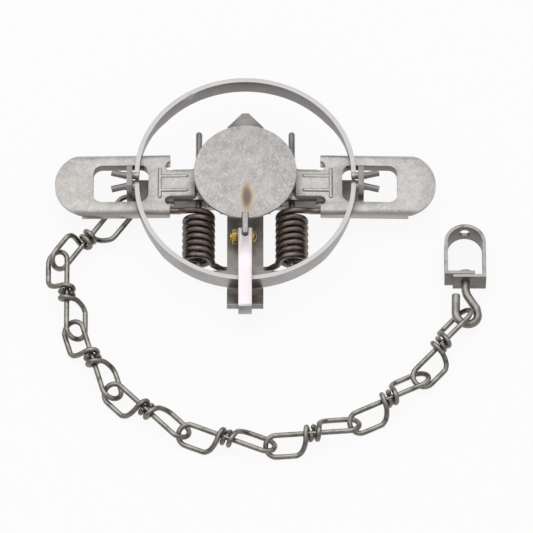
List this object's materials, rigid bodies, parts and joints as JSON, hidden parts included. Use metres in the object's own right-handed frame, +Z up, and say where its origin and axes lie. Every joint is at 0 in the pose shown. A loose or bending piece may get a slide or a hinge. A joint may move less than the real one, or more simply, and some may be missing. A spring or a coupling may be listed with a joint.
{
  "type": "leghold trap",
  "caption": "Coil-spring foothold trap set open: two hoop jaws on a crossed steel frame, windowed spring levers, pan, dog, and a wire chain with a swivel.",
  "frame": {"origin": "centre of the base strip's underside", "axes": "+X along the levers to the right, +Y away from the dog, +Z up"},
  "size_m": [0.2392, 0.227, 0.0296],
  "materials": {
    "dull_steel": "satin",
    "bright_steel": "satin",
    "plated_steel": "satin",
    "spring_wire": "matte",
    "chain_wire": "satin",
    "brass": "satin"
  },
  "bodies": {
    "base": {"base_frame": "dull_steel", "cross_frame": "dull_steel", "frame_rivets": "dull_steel", "left_pin": "bright_steel", "right_pin": "bright_steel", "left_spring": "spring_wire", "right_spring": "spring_wire", "pan_bolt": "brass", "pan_nut": "brass"},
    "left_lever": {"left_lever": "bright_steel"},
    "right_lever": {"right_lever": "bright_steel"},
    "front_jaw": {"front_jaw": "bright_steel"},
    "rear_jaw": {"rear_jaw": "bright_steel"},
    "dog": {"dog": "plated_steel"},
    "pan": {"pan": "dull_steel", "pan_shank": "dull_steel"},
    "link_1": {"chain_link_1": "chain_wire"},
    "link_2": {"chain_link_2": "chain_wire"},
    "link_3": {"chain_link_3": "chain_wire"},
    "link_4": {"chain_link_4": "chain_wire"},
    "link_5": {"chain_link_5": "chain_wire"},
    "link_6": {"chain_link_6": "chain_wire"},
    "link_7": {"chain_link_7": "chain_wire"},
    "link_8": {"chain_link_8": "chain_wire"},
    "hook": {"swivel_hook": "bright_steel"},
    "strap": {"swivel_strap": "bright_steel"}
  },
  "joints": [
    {"name": "front_jaw_close", "type": "hinge", "parent": "base", "child": "front_jaw", "pos_m": [0, -0.0035, 0.0191], "axis": [-1, 0, 0], "range_deg": [0, 90]},
    {"name": "rear_jaw_close", "type": "hinge", "parent": "base", "child": "rear_jaw", "pos_m": [0, 0.0035, 0.0191], "axis": [1, 0, 0], "range_deg": [0, 90]},
    {"name": "left_lever_rise", "type": "hinge", "parent": "base", "child": "left_lever", "pos_m": [-0.0254, 0, 0.0109], "axis": [0, 1, 0], "range_deg": [0, 23.4], "deforming": ["left_spring"]},
    {"name": "right_lever_rise", "type": "hinge", "parent": "base", "child": "right_lever", "pos_m": [0.0254, 0, 0.0109], "axis": [0, -1, 0], "range_deg": [0, 23.4], "deforming": ["right_spring"]},
    {"name": "dog_throw", "type": "hinge", "parent": "base", "child": "dog", "pos_m": [0, -0.077, 0.0172], "axis": [1, 0, 0], "range_deg": [0, 185]},
    {"name": "pan_drop", "type": "hinge", "parent": "base", "child": "pan", "pos_m": [0, -0.032, 0.0135], "axis": [-1, 0, 0], "range_deg": [0, 7]},
    {"name": "link_1_swing", "type": "hinge", "parent": "base", "child": "link_1", "pos_m": [-0.0644, -0.0086, 0.0069], "axis": [0, 0, 1], "range_deg": [-7.75, 30]},
    {"name": "link_2_swing", "type": "hinge", "parent": "link_1", "child": "link_2", "pos_m": [-0.10192, -0.0442, 0.0093], "axis": [0, 0, -1], "range_deg": [-9, 30]},
    {"name": "link_3_swing", "type": "hinge", "parent": "link_2", "child": "link_3", "pos_m": [-0.09299, -0.08586, 0.00515], "axis": [0, 0, 1], "range_deg": [-28, 6]},
    {"name": "link_4_swing", "type": "hinge", "parent": "link_3", "child": "link_4", "pos_m": [-0.07273, -0.12317, 0.00505], "axis": [0, 0, -1], "range_deg": [-5.25, 30]},
    {"name": "link_5_swing", "type": "hinge", "parent": "link_4", "child": "link_5", "pos_m": [-0.03321, -0.14894, 0.0044], "axis": [0, 0, 1], "range_deg": [-30, 5.5]},
    {"name": "link_6_swing", "type": "hinge", "parent": "link_5", "child": "link_6", "pos_m": [0.01335, -0.15715, 0.0044], "axis": [0, 0, -1], "range_deg": [-6.5, 30]},
    {"name": "link_7_swing", "type": "hinge", "parent": "link_6", "child": "link_7", "pos_m": [0.05915, -0.14358, 0.0044], "axis": [0, 0, 1], "range_deg": [-30, 9.5]},
    {"name": "link_8_swing", "type": "hinge", "parent": "link_7", "child": "link_8", "pos_m": [0.09598, -0.11439, 0.0044], "axis": [0, 0, -1], "range_deg": [-8, 25]},
    {"name": "hook_swing", "type": "hinge", "parent": "link_8", "child": "hook", "pos_m": [0.11786, -0.07841, 0.0072], "axis": [0, 0, 1], "range_deg": [-24, 10]},
    {"name": "swivel_turn", "type": "hinge", "parent": "hook", "child": "strap", "pos_m": [0.11966, -0.05671, 0.0065], "axis": [0, 1, 0], "continuous": true}
  ],
  "couplings": [
    {"joint": "rear_jaw_close", "follows": "front_jaw_close", "ratio": 1},
    {"joint": "left_lever_rise", "follows": "front_jaw_close", "ratio": 0.26},
    {"joint": "right_lever_rise", "follows": "front_jaw_close", "ratio": 0.26},
    {"joint": "dog_throw", "follows": "front_jaw_close", "ratio": 2.0556},
    {"joint": "pan_drop", "follows": "front_jaw_close", "ratio": 0.077778}
  ]
}
